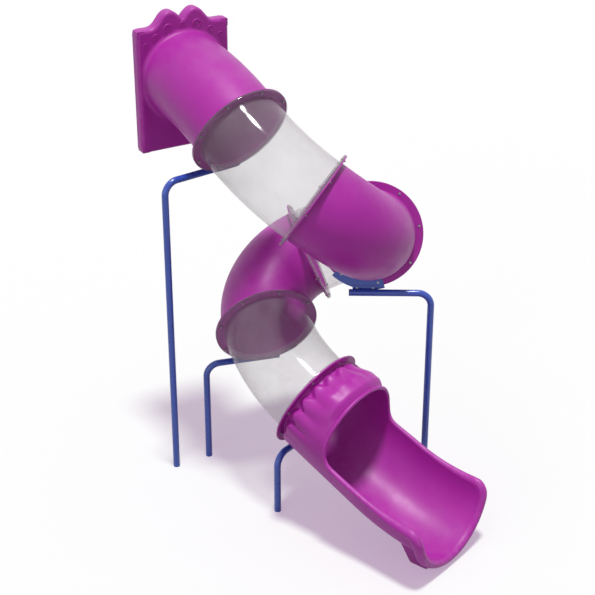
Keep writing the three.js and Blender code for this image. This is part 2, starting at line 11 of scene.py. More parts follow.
import bmesh
import bpy
import numpy as np
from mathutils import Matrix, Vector


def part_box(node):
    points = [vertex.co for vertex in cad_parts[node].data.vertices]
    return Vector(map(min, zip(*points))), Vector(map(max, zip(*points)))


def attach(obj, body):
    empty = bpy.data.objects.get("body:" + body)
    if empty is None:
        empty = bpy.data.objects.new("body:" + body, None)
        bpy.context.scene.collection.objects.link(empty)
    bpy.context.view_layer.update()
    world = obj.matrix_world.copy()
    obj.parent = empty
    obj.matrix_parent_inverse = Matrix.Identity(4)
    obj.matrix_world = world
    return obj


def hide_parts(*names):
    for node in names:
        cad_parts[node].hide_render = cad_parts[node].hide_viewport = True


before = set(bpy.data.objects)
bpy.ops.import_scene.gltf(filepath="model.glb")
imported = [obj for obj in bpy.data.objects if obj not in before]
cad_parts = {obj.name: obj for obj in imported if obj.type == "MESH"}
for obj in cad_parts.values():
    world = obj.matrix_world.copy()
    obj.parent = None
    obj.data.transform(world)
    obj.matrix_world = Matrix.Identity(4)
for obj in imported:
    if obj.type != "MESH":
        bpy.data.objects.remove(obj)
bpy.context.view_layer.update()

FULL_TURN = 2 * math.pi
QUARTER_TURN = math.pi / 2

# Tube
TUBE_BORE = 0.381  # radii
TUBE_SKIN = 0.3863
FLANGE_RIM = 0.4573
EXIT_FLANGE_RIM = 0.472
FLANGE_DEPTH = 0.012
FLANGE_FILLET = 0.008
FLANGE_ROUND = 0.0028
JOINT_GAP = 0.00015  # from a joint's plane to each of its flanges
EDGE_BAND = 0.004  # the width of a flange's rim that counts as its edge
TUBE_SIDES = 96
BEND_STEP = math.radians(3)
FEWEST_RINGS = 10
BED_SHARES = (0.7, 0.98)  # of the bore's radius below its middle, between which the polish sets in

# Route: the angle, radius and roll of each bend
BENDS = [(29, 1.850, -75), (32, 1.550, -19), (92, 0.583, -21.6)]
BENDS += [(90, 0.583, -24.8), (90, 0.583, -23.3), (32, 1.550, -13.5)]

# Entrance panel
PANEL_WIDTH = 0.866
PANEL_DEPTH = 0.100
PANEL_WALL = 0.008
PANEL_ROUND = 0.030
PANEL_BELOW = 0.647
SHOULDER = 0.452
HUMP_RISE = 0.132
NOTCH_RISE = 0.050
HUMP_OFFSET = 0.113
HUMP_FOOT = 0.318
HUMP_ROUNDNESS = 0.046
TOP_CORNER = 0.044
FOOT_CORNER = 0.040
COLLAR_LENGTH = 0.046
COLLAR_SPREAD = 0.040
COLLAR_CLEAR = 0.002  # at least this much flat face between the collar and the panel's rounded edge
FINE_EDGE = 0.0015
PANEL_COLUMNS = 320
TURN_WEIGHT = 0.9  # how much more closely the outline is followed where it turns
LARGEST_TURN = 0.1
ENTRY_RINGS = 16
BOSS_SIDE = 0.070
BOSS_HOLE = 0.006
BOSS_START = 0.004  # how far behind the panel's face a boss begins
BOSS_MIDDLE = 0.050
BOSS_EDGE = 0.001
BOSS_SQUARENESS = 14

# Exit chute
CHUTE_WALL = 0.008
CHUTE_BORE = 0.434
CHUTE_FLARE = 0.060
CHUTE_STRAIGHT = 0.880
CHUTE_CURVE = 1.580
CHUTE_RUNOUT = 0.030
CHUTE_END_SLOPE = math.radians(1)
HOOD_LENGTH = 0.395
FLUTE_DEPTH = 0.018
FLUTES = 18
FLUTE_MIDDLE = math.radians(86)
PETAL_START = 0.018  # how far down the chute its petals rise in their middle
PETAL_LAG = 0.050  # how much later between them
PETAL_RISE = 0.050
FLUTE_SHARES = (-0.5, 0.1)  # of the radius above the centre line, between which the petals grow
GROOVE_FADE = (0.150, 0.325)  # where, down the chute, the grooves between the petals grow shallow
GROOVE_LOST_SHARE = 0.85
HOOD_SWELL = 0.050
SWELL_RISE = (0.090, 0.235)
SWELL_FALL = (0.305, 0.400)
SWELL_SHARES = (0.45, 0.85)
RIM_CORNER = 0.210
RIM_FLAT = 94
RIM_LOW = 87
RIM_END = 106
RIM_END_ROUND = 0.120
CHUTE_COLUMNS = 217
PETAL_ROWS = (0.022, 0.100)
HOOD_ROW = 0.110
SEAM_EASE = math.radians(12)  # the opening angle over which the hood's closed seam parts
LIP_INSIDE = -0.0045  # where the lip's inner side lies, from the middle of the wall
LIP_BEYOND = 0.0008  # how far the lip stands past the rim
LIP_OUTWARD = 0.023
LIP_FRONT = 0.024
LIP_BACK = 0.020
LIP_GROWS = (HOOD_LENGTH, 0.800)
LIP_SWELLS_FROM = 0.900
LIP_SHARES = {"hood": 0.7, "side": 0.35, "end": 0.75, "front": 0.5}  # what each stretch adds to its size
WALL_BACK_SHARE = 0.7  # of the lip's front, by which the wall ends inside it
LIP_STEPS = 300
LIP_SIDES = 28
LIP_SMOOTHINGS = 3
BLOCK_LENGTH = 0.190
BLOCK_WIDTH = 0.390
BLOCK_DRAFT = 0.084
BLOCK_SIDE_DRAFT = 0.110
BLOCK_FROM_END = 0.133
BLOCK_TOP_SHARE = 0.58
BLOCK_ROUND = 0.014
BLOCK_ROUND_SHARE = 0.012  # of the way up the block
BLOCK_SQUARENESS = 9
BLOCK_SEARCH_FROM = 0.600  # the stretch of the chute that the block can meet begins here

# Posts
PIPE_RADIUS = 0.0298
PIPE_WALL = 0.0039
PIPE_BEND = 0.120
ARM_OVERSHOOT = 0.174
ARM_DROP = 0.045
SADDLE_AT = FLANGE_DEPTH + 2 * JOINT_GAP
PLATE = 0.008
LUG_AT = SADDLE_AT + PLATE + 2 * JOINT_GAP
ARM_AT = LUG_AT + PLATE + 2 * JOINT_GAP + PIPE_RADIUS
CAP_DEPTH = 0.004
SOFT_EDGE = 0.0015
LUG_SHIFT = 0.038
LUG_BOLT_HALF = 0.070
LUG_BOLT_DROP = 0.013

# Bolts
BOLT_CIRCLE = 0.4268
BOLT_COUNT = 8
BOLT_FIRST = math.radians(-100)
BOLT_RADIUS = 0.0049
HEAD_CORNER = 0.009
HEAD_FLAT = 0.0066  # radius of the round on top of a head or nut
HEAD_HEIGHT = 0.0064
HEAD_CHAMFER = 0.0008
NUT_HEIGHT = 0.008
BOLT_TAIL = 0.004
WASHER_RADIUS = 0.0105
WASHER_DEPTH = 0.0016

WELD = 1e-6
CAD_WELD = 1e-5
SHARP_ANGLE = math.radians(38)
FLAT_ANGLE = math.radians(1)
BEVEL_ANGLE = math.radians(60)
LEVEL_UP = np.array([0.0, 0.0, 1.0])


# Shapes
def unit(vectors):
    return vectors / np.linalg.norm(vectors, axis=-1, keepdims=True)


def round_angles(count):
    return np.arange(count) * FULL_TURN / count


def smooth_step(value, low, high):
    """0 below low, 1 above high, and 3t^2 - 2t^3 between them."""
    t = np.clip((value - low) / (high - low), 0, 1)
    return t * t * (3 - 2 * t)


def place_at(point, travel):
    """A point, its direction of travel, the level left-hand side and the up that squares with both."""
    left = unit(np.array([-travel[1], travel[0], 0.0]))
    return SimpleNamespace(point=point, travel=travel, left=left, up=np.cross(travel, left))


def make_bend(start, angle, radius, roll):
    """A plane arc that leaves a place: roll turns the side that it bends to from left towards up."""
    roll, turn = math.radians(roll), math.radians(angle)
    towards = start.left * math.cos(roll) + start.up * math.sin(roll)
    bend = SimpleNamespace(point=start.point, travel=start.travel, towards=towards, radius=radius)
    bend.axis, bend.turn, bend.roll = np.cross(start.travel, towards), turn, roll
    return bend


def bend_line(bend, turn):
    """Centre line and left of a bend: point + R * (travel * sin + towards * (1 - cos))."""
    sine, cosine = np.sin(turn)[..., None], np.cos(turn)[..., None]
    point = bend.point + bend.radius * (bend.travel * sine + bend.towards * (1 - cosine))
    return point, bend.towards * cosine - bend.travel * sine


def bend_place(bend, turn):
    point, left = bend_line(bend, np.array(turn))
    return SimpleNamespace(point=point, travel=np.cross(left, bend.axis), left=left, up=bend.axis)


def lay_route(start):
    bends, joints = [], []
    for sizes in BENDS:
        bends.append(make_bend(start, *sizes))
        end = bend_place(bends[-1], bends[-1].turn)
        start = place_at(end.point, end.travel)
        joints.append(start)
    return bends, joints


panel_low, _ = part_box("entrance_panel")
panel_middle = [panel_low.x + PANEL_DEPTH, panel_low.y + PANEL_WIDTH / 2, panel_low.z + PANEL_BELOW]
entrance = place_at(np.array(panel_middle), np.array([1.0, 0.0, 0.0]))
bends, joints = lay_route(entrance)
upper_joint, _, right_joint, _, left_joint, exit_joint = joints


def spots_at(place, across, upward, depth):
    """Points by how far they lie to a place's left, up and along its travel."""
    aside = across[..., None] * place.left + upward[..., None] * place.up
    return place.point + aside + np.asarray(depth)[..., None] * place.travel


def ring_rows(place, offsets, radii, around):
    """Rings square to a place: radius * cos to the left, radius * sin up and the offset along."""
    radii = np.reshape(radii, (len(offsets), -1))
    return spots_at(place, radii * np.cos(around), radii * np.sin(around), np.reshape(offsets, (-1, 1)))


def turned_grid(place, x, y, rows, outline):
    """A profile of depth, reach and shaped (0 or 1), turned about an axis at x and y. The reach of a shaped
    row is multiplied by the outline, and the other rows are round."""
    depth, reach, shaped = (np.array(column)[:, None] for column in zip(*rows))
    around = round_angles(len(outline))
    reach = reach * np.where(shaped == 1, outline, 1)
    return spots_at(place, x + reach * np.cos(around), y + reach * np.sin(around), depth)


def bend_rows(bend, radius, around, start_gap, end_gap, count):
    """Rings of a torus. Each point's turn runs from asin(gap / reach) to the bend's turn less the same, and
    reach is the bend's radius less radius * cos, so the first and last rings lie square to the ends."""
    reach = bend.radius - radius * np.cos(around)
    first = np.arcsin(start_gap / reach)
    last = bend.turn - np.arcsin(end_gap / reach)
    turn = first + (last - first) * np.linspace(0, 1, count)[:, None]
    point, left = bend_line(bend, turn)
    spokes = left * np.cos(around)[:, None] + bend.axis * np.sin(around)[:, None]
    return point + radius * spokes


def arc_points(x, y, radius, start, end, count=24):
    t = np.linspace(math.radians(start), math.radians(end), count)
    return np.stack([x + radius * np.cos(t), y + radius * np.sin(t)], axis=1)


def flange_profile(rim, skin=TUBE_SKIN):
    """Offsets from the joint and radii, from the tube's skin over the flange to its bore: a hollow quarter
    circle, the back face, two rounded corners, the front face and the rounded edge of the bore."""
    edge, fillet, back, front = FLANGE_ROUND, FLANGE_FILLET, FLANGE_DEPTH, JOINT_GAP
    pieces = [
        arc_points(back + fillet, skin + fillet, fillet, 270, 180, 5),
        [[back, skin + fillet + edge], [back, rim - 2 * edge]],
        arc_points(back - edge, rim - edge, edge, 0, 90, 5),
        arc_points(front + edge, rim - edge, edge, 90, 180, 5),
        [[front, rim - 2 * edge], [front, TUBE_BORE + 2 * edge]],
        arc_points(front + edge, TUBE_BORE + edge, edge, 180, 270, 5),
    ]
    return np.concatenate(pieces).T


def grid_quads(rows, columns, ring, loop):
    """Quads between neighbouring points; ring joins the last column to the first, and loop the last row."""
    i = np.arange(rows if loop else rows - 1)[:, None]
    j = np.arange(columns if ring else columns - 1)[None]
    here, ahead, beside = i * columns, (i + 1) % rows * columns, (j + 1) % columns
    return np.stack([here + j, ahead + j, ahead + beside, here + beside], axis=-1).reshape(-1, 4)


def grid_run(points, ring, loop):
    """Each quad corner's place on the unrolled surface, in metres: the mean steps added up both ways."""
    rows, columns = points.shape[:2]
    across = np.linalg.norm(np.roll(points, -1, 1) - points, axis=2).mean(axis=0)
    onward = np.linalg.norm(np.roll(points, -1, 0) - points, axis=2).mean(axis=1)
    u, v = (np.r_[0, np.cumsum(steps)] for steps in (across, onward))
    i = np.arange(rows if loop else rows - 1)[:, None, None]
    j = np.arange(columns if ring else columns - 1)[None, :, None]
    i, j = i + np.array([0, 1, 1, 0]), j + np.array([0, 0, 1, 1])
    return np.stack([u[j] + 0 * i, v[i] + 0 * j], axis=-1).reshape(-1, 4, 2)


def mesh_of(name, points, quads, run, **marks):
    """A mesh whose faces look outwards: the volume that the quads enclose says which way they turn."""
    a, b, c, d = (points[quads[:, k]] for k in range(4))
    enclosed = np.einsum("ij,ij->", a, np.cross(b, c)) + np.einsum("ij,ij->", a, np.cross(c, d))
    if enclosed < 0:
        quads, run = quads[:, ::-1], run[:, ::-1]
    mesh = bpy.data.meshes.new(name)
    mesh.from_pydata(points.tolist(), [], quads.tolist())
    mesh.uv_layers.new(name="run").data.foreach_set("uv", run.ravel().astype(np.float32))
    for key, values in marks.items():
        layer = mesh.attributes.new(key, "FLOAT", "POINT")
        layer.data.foreach_set("value", np.asarray(values, np.float32).ravel())
    return welded(mesh)


def welded(mesh, distance=WELD, flattened=False):
    """Merges doubles, and makes flat faces that were cut into triangles whole again if asked to."""
    work = bmesh.new()
    work.from_mesh(mesh)
    bmesh.ops.remove_doubles(work, verts=work.verts, dist=distance)
    if flattened:
        bmesh.ops.dissolve_limit(work, angle_limit=FLAT_ANGLE, verts=work.verts, edges=work.edges)
    work.to_mesh(mesh)
    work.free()
    mesh.shade_smooth()
    mesh.set_sharp_from_angle(angle=SHARP_ANGLE)
    return mesh


def grid_mesh(name, points, ring=True, loop=True, **marks):
    quads = grid_quads(*points.shape[:2], ring, loop)
    return mesh_of(name, points.reshape(-1, 3), quads, grid_run(points, ring, loop), **marks)


def many_grids(name, grids):
    """Several closed grids as one mesh; their rows end in points, and their columns close."""
    points, quads, run, first = [], [], [], 0
    for grid in grids:
        points.append(grid.reshape(-1, 3))
        quads.append(grid_quads(*grid.shape[:2], True, False) + first)
        run.append(grid_run(grid, True, False))
        first += len(points[-1])
    return mesh_of(name, np.concatenate(points), np.concatenate(quads), np.concatenate(run))


def object_of(data):
    made = bpy.data.objects.new(data.name, data)
    bpy.context.scene.collection.objects.link(made)
    return made


def add_piece(mesh, finish, *nodes):
    material, slot = finish
    mesh.materials.append(material)
    piece = object_of(mesh)
    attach(piece, "root")
    if nodes:
        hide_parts(*nodes)
    return piece


def bed_mark(points, rows, upward):
    """1 on the lowest part of the bore, where riders polish it, and 0 elsewhere."""
    mark = np.zeros(points.shape[:2])
    centre = points[rows].mean(axis=1, keepdims=True)
    spokes = unit(points[rows] - centre)
    mark[rows] = smooth_step(-(spokes @ upward), *BED_SHARES)
    return mark


def tube_mesh(name, bend):
    """A bent tube with a flange on each end: its skin, a flange, its bore and the other flange, as a loop."""
    around = round_angles(TUBE_SIDES)
    count = max(FEWEST_RINGS, round(bend.turn / BEND_STEP))
    start, end = bend_place(bend, 0.0), bend_place(bend, bend.turn)
    offsets, radii = flange_profile(FLANGE_RIM)
    shoulder, lip = FLANGE_DEPTH + FLANGE_FILLET, JOINT_GAP + FLANGE_ROUND
    parts = [
        ring_rows(start, offsets[::-1], radii[::-1], around),
        bend_rows(bend, TUBE_SKIN, around, shoulder, shoulder, count)[1:-1],
        ring_rows(end, -offsets, radii, around),
        bend_rows(bend, TUBE_BORE, around, lip, lip, count)[-2:0:-1],
    ]
    points = np.concatenate(parts)
    inner = np.arange(len(points) - len(parts[-1]), len(points))
    edge = np.zeros(points.shape[:2])
    for first, profile in ((0, radii[::-1]), (len(parts[0]) + len(parts[1]), radii)):
        near_rim = smooth_step(profile, FLANGE_RIM - EDGE_BAND, FLANGE_RIM)
        edge[first : first + len(profile)] = near_rim[:, None]
    return grid_mesh(name, points, bed=bed_mark(points, inner, LEVEL_UP), edge=edge)


# Entrance panel
def curve_points(corners, count=60):
    """A Bezier curve by its corners: each pair of neighbours is drawn together until one point is left."""
    t = np.linspace(0, 1, count)[:, None, None]
    left = np.asarray(corners, float)[None] + 0 * t
    while left.shape[1] > 1:
        left = left[:, :-1] * (1 - t) + left[:, 1:] * t
    return left[:, 0]


def panel_outline():
    """The panel's outline about the tube's axis, as left and up, with most points where it turns most."""
    half, foot, top = PANEL_WIDTH / 2, -PANEL_BELOW, SHOULDER
    peak, ease, inner = top + HUMP_RISE, (HUMP_FOOT - HUMP_OFFSET) / 2, HUMP_OFFSET - HUMP_ROUNDNESS
    hump = [[HUMP_FOOT, top], [HUMP_FOOT - ease, top], [HUMP_OFFSET + ease, peak], [HUMP_OFFSET, peak]]
    dip = [[HUMP_OFFSET, peak], [inner, peak], [0, top + NOTCH_RISE]]
    right = np.concatenate([curve_points(hump), curve_points(dip)])
    mirrored = (right * [-1, 1])[::-1]
    low_x, low_y = half - FOOT_CORNER, foot + FOOT_CORNER
    pieces = [
        arc_points(-low_x, low_y, FOOT_CORNER, 180, 270),
        curve_points([[-low_x, foot], [low_x, foot]]),
        arc_points(low_x, low_y, FOOT_CORNER, 270, 360),
        curve_points([[half, low_y], [half, top - TOP_CORNER]]),
        arc_points(half - TOP_CORNER, top - TOP_CORNER, TOP_CORNER, 0, 90),
        right,
        mirrored,
        arc_points(TOP_CORNER - half, top - TOP_CORNER, TOP_CORNER, 90, 180),
        curve_points([[-half, top - TOP_CORNER], [-half, low_y]]),
    ]
    dense = np.concatenate(pieces)
    dense = dense[np.append(np.linalg.norm(np.diff(dense, axis=0), axis=1) > WELD, True)]
    closed = np.concatenate([dense, dense[:1]])
    steps = np.diff(closed, axis=0)
    heading = np.unwrap(np.arctan2(steps[:, 1], steps[:, 0]))
    turning = np.minimum(np.abs(np.diff(heading, append=heading[-1])), LARGEST_TURN)
    sweep = np.abs(np.diff(np.unwrap(np.arctan2(closed[:, 1], closed[:, 0]))))
    measure = np.r_[0, np.cumsum(sweep + TURN_WEIGHT * turning)]
    spots = np.arange(PANEL_COLUMNS) / PANEL_COLUMNS * measure[-1]
    return np.stack([np.interp(spots, measure, closed[:, k]) for k in (0, 1)], axis=1)


def entrance_mesh(name):
    """The panel's pan and the tube's first bend in one loop of rows. From the pan's back edge the rows go
    over its rounded edge, across its face by shares of the way to the collar, up the collar's hollow
    fillet, along the bend, over the flange, back through the bore and round the inside of the pan."""
    outline = panel_outline()
    along = np.roll(outline, -1, 0) - np.roll(outline, 1, 0)
    normals = unit(np.stack([along[:, 1], -along[:, 0]], axis=1))
    around = np.arctan2(outline[:, 1], outline[:, 0])
    bend = bends[0]
    turned = around - bend.roll

    def flat(inset, depth):
        across, upward = (outline - normals * inset).T
        return spots_at(entrance, across, upward, depth)

    def rows_between(first, last, shares):
        return [first + (last - first) * share for share in shares]

    t = np.linspace(0, QUARTER_TURN, 8)
    room = np.linalg.norm(outline - normals * PANEL_ROUND, axis=1) - TUBE_SKIN - COLLAR_CLEAR
    spread = np.minimum(COLLAR_SPREAD, room)
    back = -PANEL_DEPTH
    outer_edge = [flat(PANEL_ROUND * (1 - math.cos(a)), PANEL_ROUND * (math.sin(a) - 1)) for a in t]
    collar_radii = TUBE_SKIN + spread[None] * (1 - np.sin(t))[:, None]
    collar = ring_rows(entrance, COLLAR_LENGTH * (1 - np.cos(t)), collar_radii, around)
    face = rows_between(outer_edge[-1], collar[0], (0.04, 0.3, 0.6, 0.85))
    offsets, radii = flange_profile(FLANGE_RIM)
    end = bend_place(bend, bend.turn)
    shoulder, lip = FLANGE_DEPTH + FLANGE_FILLET, JOINT_GAP + FLANGE_ROUND
    skin = bend_rows(bend, TUBE_SKIN, turned, COLLAR_LENGTH, shoulder, ENTRY_RINGS)[1:-1]
    flange = ring_rows(end, -offsets, radii, turned)
    bore = bend_rows(bend, TUBE_BORE, turned, 0.0, lip, ENTRY_RINGS)[-2::-1]
    back_edge = [(back / 2, TUBE_BORE), (back + FINE_EDGE, TUBE_BORE)]
    back_edge += [(back, TUBE_BORE + FINE_EDGE), (back, TUBE_SKIN - FINE_EDGE)]
    back_edge += [(back + FINE_EDGE, TUBE_SKIN), (back / 2, TUBE_SKIN)]
    back_edge += [(-1.6 * PANEL_WALL, TUBE_SKIN), (-PANEL_WALL, TUBE_SKIN + PANEL_WALL / 2)]
    tube_back = ring_rows(entrance, *zip(*back_edge), around)
    edge, hollow = PANEL_ROUND, PANEL_ROUND - PANEL_WALL
    inner_edge = [flat(edge - hollow * math.cos(a), hollow * math.sin(a) - edge) for a in t[::-1]]
    rows = [flat(0, back + FINE_EDGE), flat(0, back / 2), *outer_edge, *face, *collar]
    edge_rows = range(2, 2 + len(outer_edge))
    rows += [*skin, *flange]
    first_bore = len(rows)
    rows += [*bore, *tube_back]
    rows += rows_between(tube_back[-1], inner_edge[0], (0.3, 0.65))
    rows += [*inner_edge, flat(PANEL_WALL, back / 2), flat(PANEL_WALL, back + FINE_EDGE)]
    rows += [flat(PANEL_WALL - FINE_EDGE, back), flat(FINE_EDGE, back)]
    points = np.stack(rows)
    edge = np.zeros(points.shape[:2])
    edge[edge_rows] = np.sin(2 * t)[:, None]
    inner = np.arange(first_bore, first_bore + len(bore))
    return grid_mesh(name, points, bed=bed_mark(points, inner, entrance.up), edge=edge)


def squared_reach(around, squareness):
    """Reach of a unit superellipse: (|cos|^p + |sin|^p)^(-1/p), nearer to a square the larger p is."""
    sides = np.abs(np.cos(around)) ** squareness + np.abs(np.sin(around)) ** squareness
    return sides ** (-1 / squareness)


# Scrolls over the tube's mouth: degrees from the top, distance from the axis and size of each
SCROLLS = [(-48, 0.476, 0.022), (-34.5, 0.458, 0.027), (-18, 0.458, 0.040), (-1, 0.452, 0.026)]
SCROLLS += [(16, 0.458, 0.040), (34, 0.456, 0.027), (48, 0.472, 0.022)]
SCROLL_WIDTH = 0.0062
SCROLL_HEIGHT = 0.0065
SCROLL_SIZE = 0.034  # the size at which a ridge has that width and height
SCROLL_FROM = math.radians(-62)
SCROLL_SWEEP = math.radians(304)
BUTTON_SHARE = 0.34  # of a scroll's size
BUTTON_HEIGHT_SHARE = 0.8


def scroll_grid(tilt, distance, size):
    """A ridge along a C whose ends wind inwards: radius = size * (1 - 0.5 * |2s - 1|^3), with an ellipse
    for its section that shrinks to a point at both ends."""
    s = np.linspace(0, 1, 49)
    turn = SCROLL_FROM + s * SCROLL_SWEEP
    reach = size * (1 - 0.5 * np.abs(2 * s - 1) ** 3)
    lean = math.radians(-tilt)
    x, y = reach * np.cos(turn), distance + reach * np.sin(turn)
    x, y = x * math.cos(lean) - y * math.sin(lean), x * math.sin(lean) + y * math.cos(lean)
    heading = unit(np.stack([np.gradient(x), np.gradient(y)], axis=1))
    swell = np.sqrt(np.clip(1 - (2 * s - 1) ** 6, 0, 1)) * size / SCROLL_SIZE
    around = round_angles(14)
    wide = SCROLL_WIDTH * swell[:, None] * np.cos(around)
    high = SCROLL_HEIGHT * swell[:, None] * np.sin(around)
    return spots_at(entrance, x[:, None] - heading[:, 1:] * wide, y[:, None] + heading[:, :1] * wide, high)


def button_grid(tilt, distance, size):
    """A low dome in the middle of a scroll, with a dimple at its top."""
    t = np.linspace(0, 1, 15)
    radius = BUTTON_SHARE * size * np.sin(t * math.pi)
    dimple = 0.5 * smooth_step(t, 0.8, 1)
    height = -SCROLL_HEIGHT * BUTTON_HEIGHT_SHARE * np.cos(t * math.pi) * (1 - dimple)
    around = round_angles(24)
    lean = math.radians(90 - tilt)
    x = distance * math.cos(lean) + radius[:, None] * np.cos(around)
    y = distance * math.sin(lean) + radius[:, None] * np.sin(around)
    return spots_at(entrance, x, y, height[:, None])


def boss_grid(side, height):
    """A block with softened corners on the back of the pan, and a blind hole for a deck bolt in it."""
    half, edge, back, floor = BOSS_SIDE / 2 - BOSS_EDGE, BOSS_EDGE, -PANEL_DEPTH, -2 * PANEL_WALL
    rows = [(-BOSS_START, 0, 0), (-BOSS_START, half, 1), (-BOSS_MIDDLE, half, 1), (back + 2 * edge, half, 1)]
    rows += [(back, half - 2 * edge, 1), (back, BOSS_HOLE + edge, 0), (back + edge, BOSS_HOLE, 0)]
    rows += [(floor, BOSS_HOLE, 0), (floor, 0, 0)]
    return turned_grid(entrance, side, height, rows, squared_reach(round_angles(64), BOSS_SQUARENESS))


# Exit chute
chute_turn = math.asin(-exit_joint.travel[2]) - CHUTE_END_SLOPE
chute_length = CHUTE_STRAIGHT + CHUTE_CURVE * chute_turn + CHUTE_RUNOUT


def chute_line(distance):
    """The chute's centre line, travel and up: straight, then an arc that levels it, then straight."""
    turn = np.clip((distance - CHUTE_STRAIGHT) / CHUTE_CURVE, 0, chute_turn)
    before = np.minimum(distance, CHUTE_STRAIGHT)[..., None]
    rest = np.maximum(distance - CHUTE_STRAIGHT - turn * CHUTE_CURVE, 0)[..., None]
    sine, cosine = np.sin(turn)[..., None], np.cos(turn)[..., None]
    travel = exit_joint.travel * cosine + exit_joint.up * sine
    up = exit_joint.up * cosine - exit_joint.travel * sine
    bent = CHUTE_CURVE * (exit_joint.travel * sine + exit_joint.up * (1 - cosine))
    return exit_joint.point + exit_joint.travel * before + bent + travel * rest, travel, up


def chute_radius(distance, angle):
    """Radius of the chute's bore: it widens behind the flange. On the hood's upper side it does so in
    petals, later between them than in their middle. The grooves between them, 1 - |cos| of the angle times
    half their count, grow shallow towards the mouth, and the hood swells before it."""
    fade = 1 - smooth_step(distance, HOOD_LENGTH, HOOD_LENGTH + RIM_CORNER)
    upper = smooth_step(np.sin(angle), *FLUTE_SHARES) * fade
    groove = (1 - np.abs(np.cos(FLUTES * (angle - FLUTE_MIDDLE) / 2))) * upper
    plain = smooth_step(distance, FLANGE_DEPTH, CHUTE_FLARE)
    start = PETAL_START + PETAL_LAG * groove
    petal = smooth_step(distance, start, start + PETAL_RISE + 0.5 * PETAL_LAG * groove)
    widen = plain + (petal - plain) * upper
    swell = smooth_step(distance, *SWELL_RISE) * (1 - smooth_step(distance, *SWELL_FALL))
    swell = HOOD_SWELL * smooth_step(np.sin(angle), *SWELL_SHARES) * swell
    sunk = FLUTE_DEPTH * groove * (1 - GROOVE_LOST_SHARE * smooth_step(distance, *GROOVE_FADE))
    return TUBE_BORE + widen * (CHUTE_BORE - TUBE_BORE - sunk) + swell


def rim_angle(distance):
    """The angle from the top of the chute to its rim: it opens quickly past the hood, then stays flat."""
    corner = np.clip((distance - HOOD_LENGTH) / RIM_CORNER, 0, 1)
    run = np.clip((distance - HOOD_LENGTH) / (chute_length - HOOD_LENGTH), 0, 1)
    last = np.clip((distance - chute_length + RIM_END_ROUND) / RIM_END_ROUND, 0, 1)
    angle = RIM_FLAT * np.sqrt(1 - (1 - corner) ** 3) + (RIM_LOW - RIM_FLAT) * run
    return np.radians(angle + (RIM_END - RIM_LOW) * (1 - np.sqrt(1 - last**2)))


def lip_size(distance):
    """Scale of the lip's thickness and of its rolled front, which grow from the hood's mouth to the end."""
    past_hood, last = smooth_step(distance, *LIP_GROWS), smooth_step(distance, LIP_SWELLS_FROM, chute_length)
    size = LIP_SHARES["hood"] + LIP_SHARES["side"] * past_hood + LIP_SHARES["end"] * last
    return size, size + LIP_SHARES["front"] * last


def wall_end_gap(distance):
    """How far the wall ends short of the rim, so that its edge is hidden in the lip's round front."""
    return lip_size(distance)[1] * LIP_FRONT * WALL_BACK_SHARE - LIP_BEYOND


def wall_rim(distance):
    """The angle from the top to the wall's own edge."""
    gap = wall_end_gap(distance)
    angle = rim_angle(np.minimum(distance + gap, chute_length))
    return angle + gap / CHUTE_BORE * smooth_step(angle, 0, SEAM_EASE)


def chute_points(distance, angle, wall):
    """Points of the chute's wall, and the directions out of the centre line to them."""
    point, _, up = chute_line(distance)
    outward = exit_joint.left * np.cos(angle)[..., None] + up * np.sin(angle)[..., None]
    return point + (chute_radius(distance, angle) + wall)[..., None] * outward, outward


def chute_mesh(name):
    """Flange, hood and trough as one wall: each row runs from one rim round the bottom to the other, and in
    the hood both rims meet at the top. The rows go out along the skin and come back along the bore."""
    share = np.linspace(0, 1, CHUTE_COLUMNS)
    mouth, end = (distance - wall_end_gap(distance) for distance in (HOOD_LENGTH, chute_length))
    opened = np.r_[
        np.linspace(*PETAL_ROWS, 14),
        np.linspace(HOOD_ROW, mouth, 26),
        mouth + RIM_CORNER * np.linspace(0, 1, 25)[1:] ** 2,
        np.linspace(mouth + RIM_CORNER, end - RIM_END_ROUND, 34)[1:],
        end - RIM_END_ROUND * (1 - np.sin(np.linspace(0, QUARTER_TURN, 16)[1:])),
    ][:, None]
    rim = wall_rim(opened)
    angle = QUARTER_TURN + rim + share * (FULL_TURN - 2 * rim)
    skin, bore = (chute_points(opened, angle, wall)[0] for wall in (CHUTE_WALL, 0.0))
    foot = FLANGE_DEPTH + FLANGE_FILLET
    offsets, radii = flange_profile(EXIT_FLANGE_RIM, float(chute_radius(foot, -QUARTER_TURN)) + CHUTE_WALL)
    flange = ring_rows(exit_joint, offsets[::-1], radii[::-1], QUARTER_TURN + share * FULL_TURN)
    points = np.concatenate([flange, skin, bore[::-1]])
    rows, columns = points.shape[:2]
    quads, run = grid_quads(rows, columns, False, True), grid_run(points, False, True)
    # The wall's edge along both rims, from the hood's mouth on
    k = np.flatnonzero(opened[:-1, 0] >= mouth - WELD)
    out, back = (len(flange) + k) * columns, (rows - 1 - k) * columns
    here = np.stack([out + columns, out, back, back - columns], axis=1)
    there = np.stack([out, out + columns, back - columns, back], axis=1) + columns - 1
    quads = np.concatenate([quads, here, there])
    run = np.concatenate([run, np.zeros((2 * len(k), 4, 2))])
    bed = np.zeros((rows, columns))
    bed[-len(bore) :] = smooth_step(-np.sin(angle), *BED_SHARES)[::-1]
    return mesh_of(name, points.reshape(-1, 3), quads, run, bed=bed)


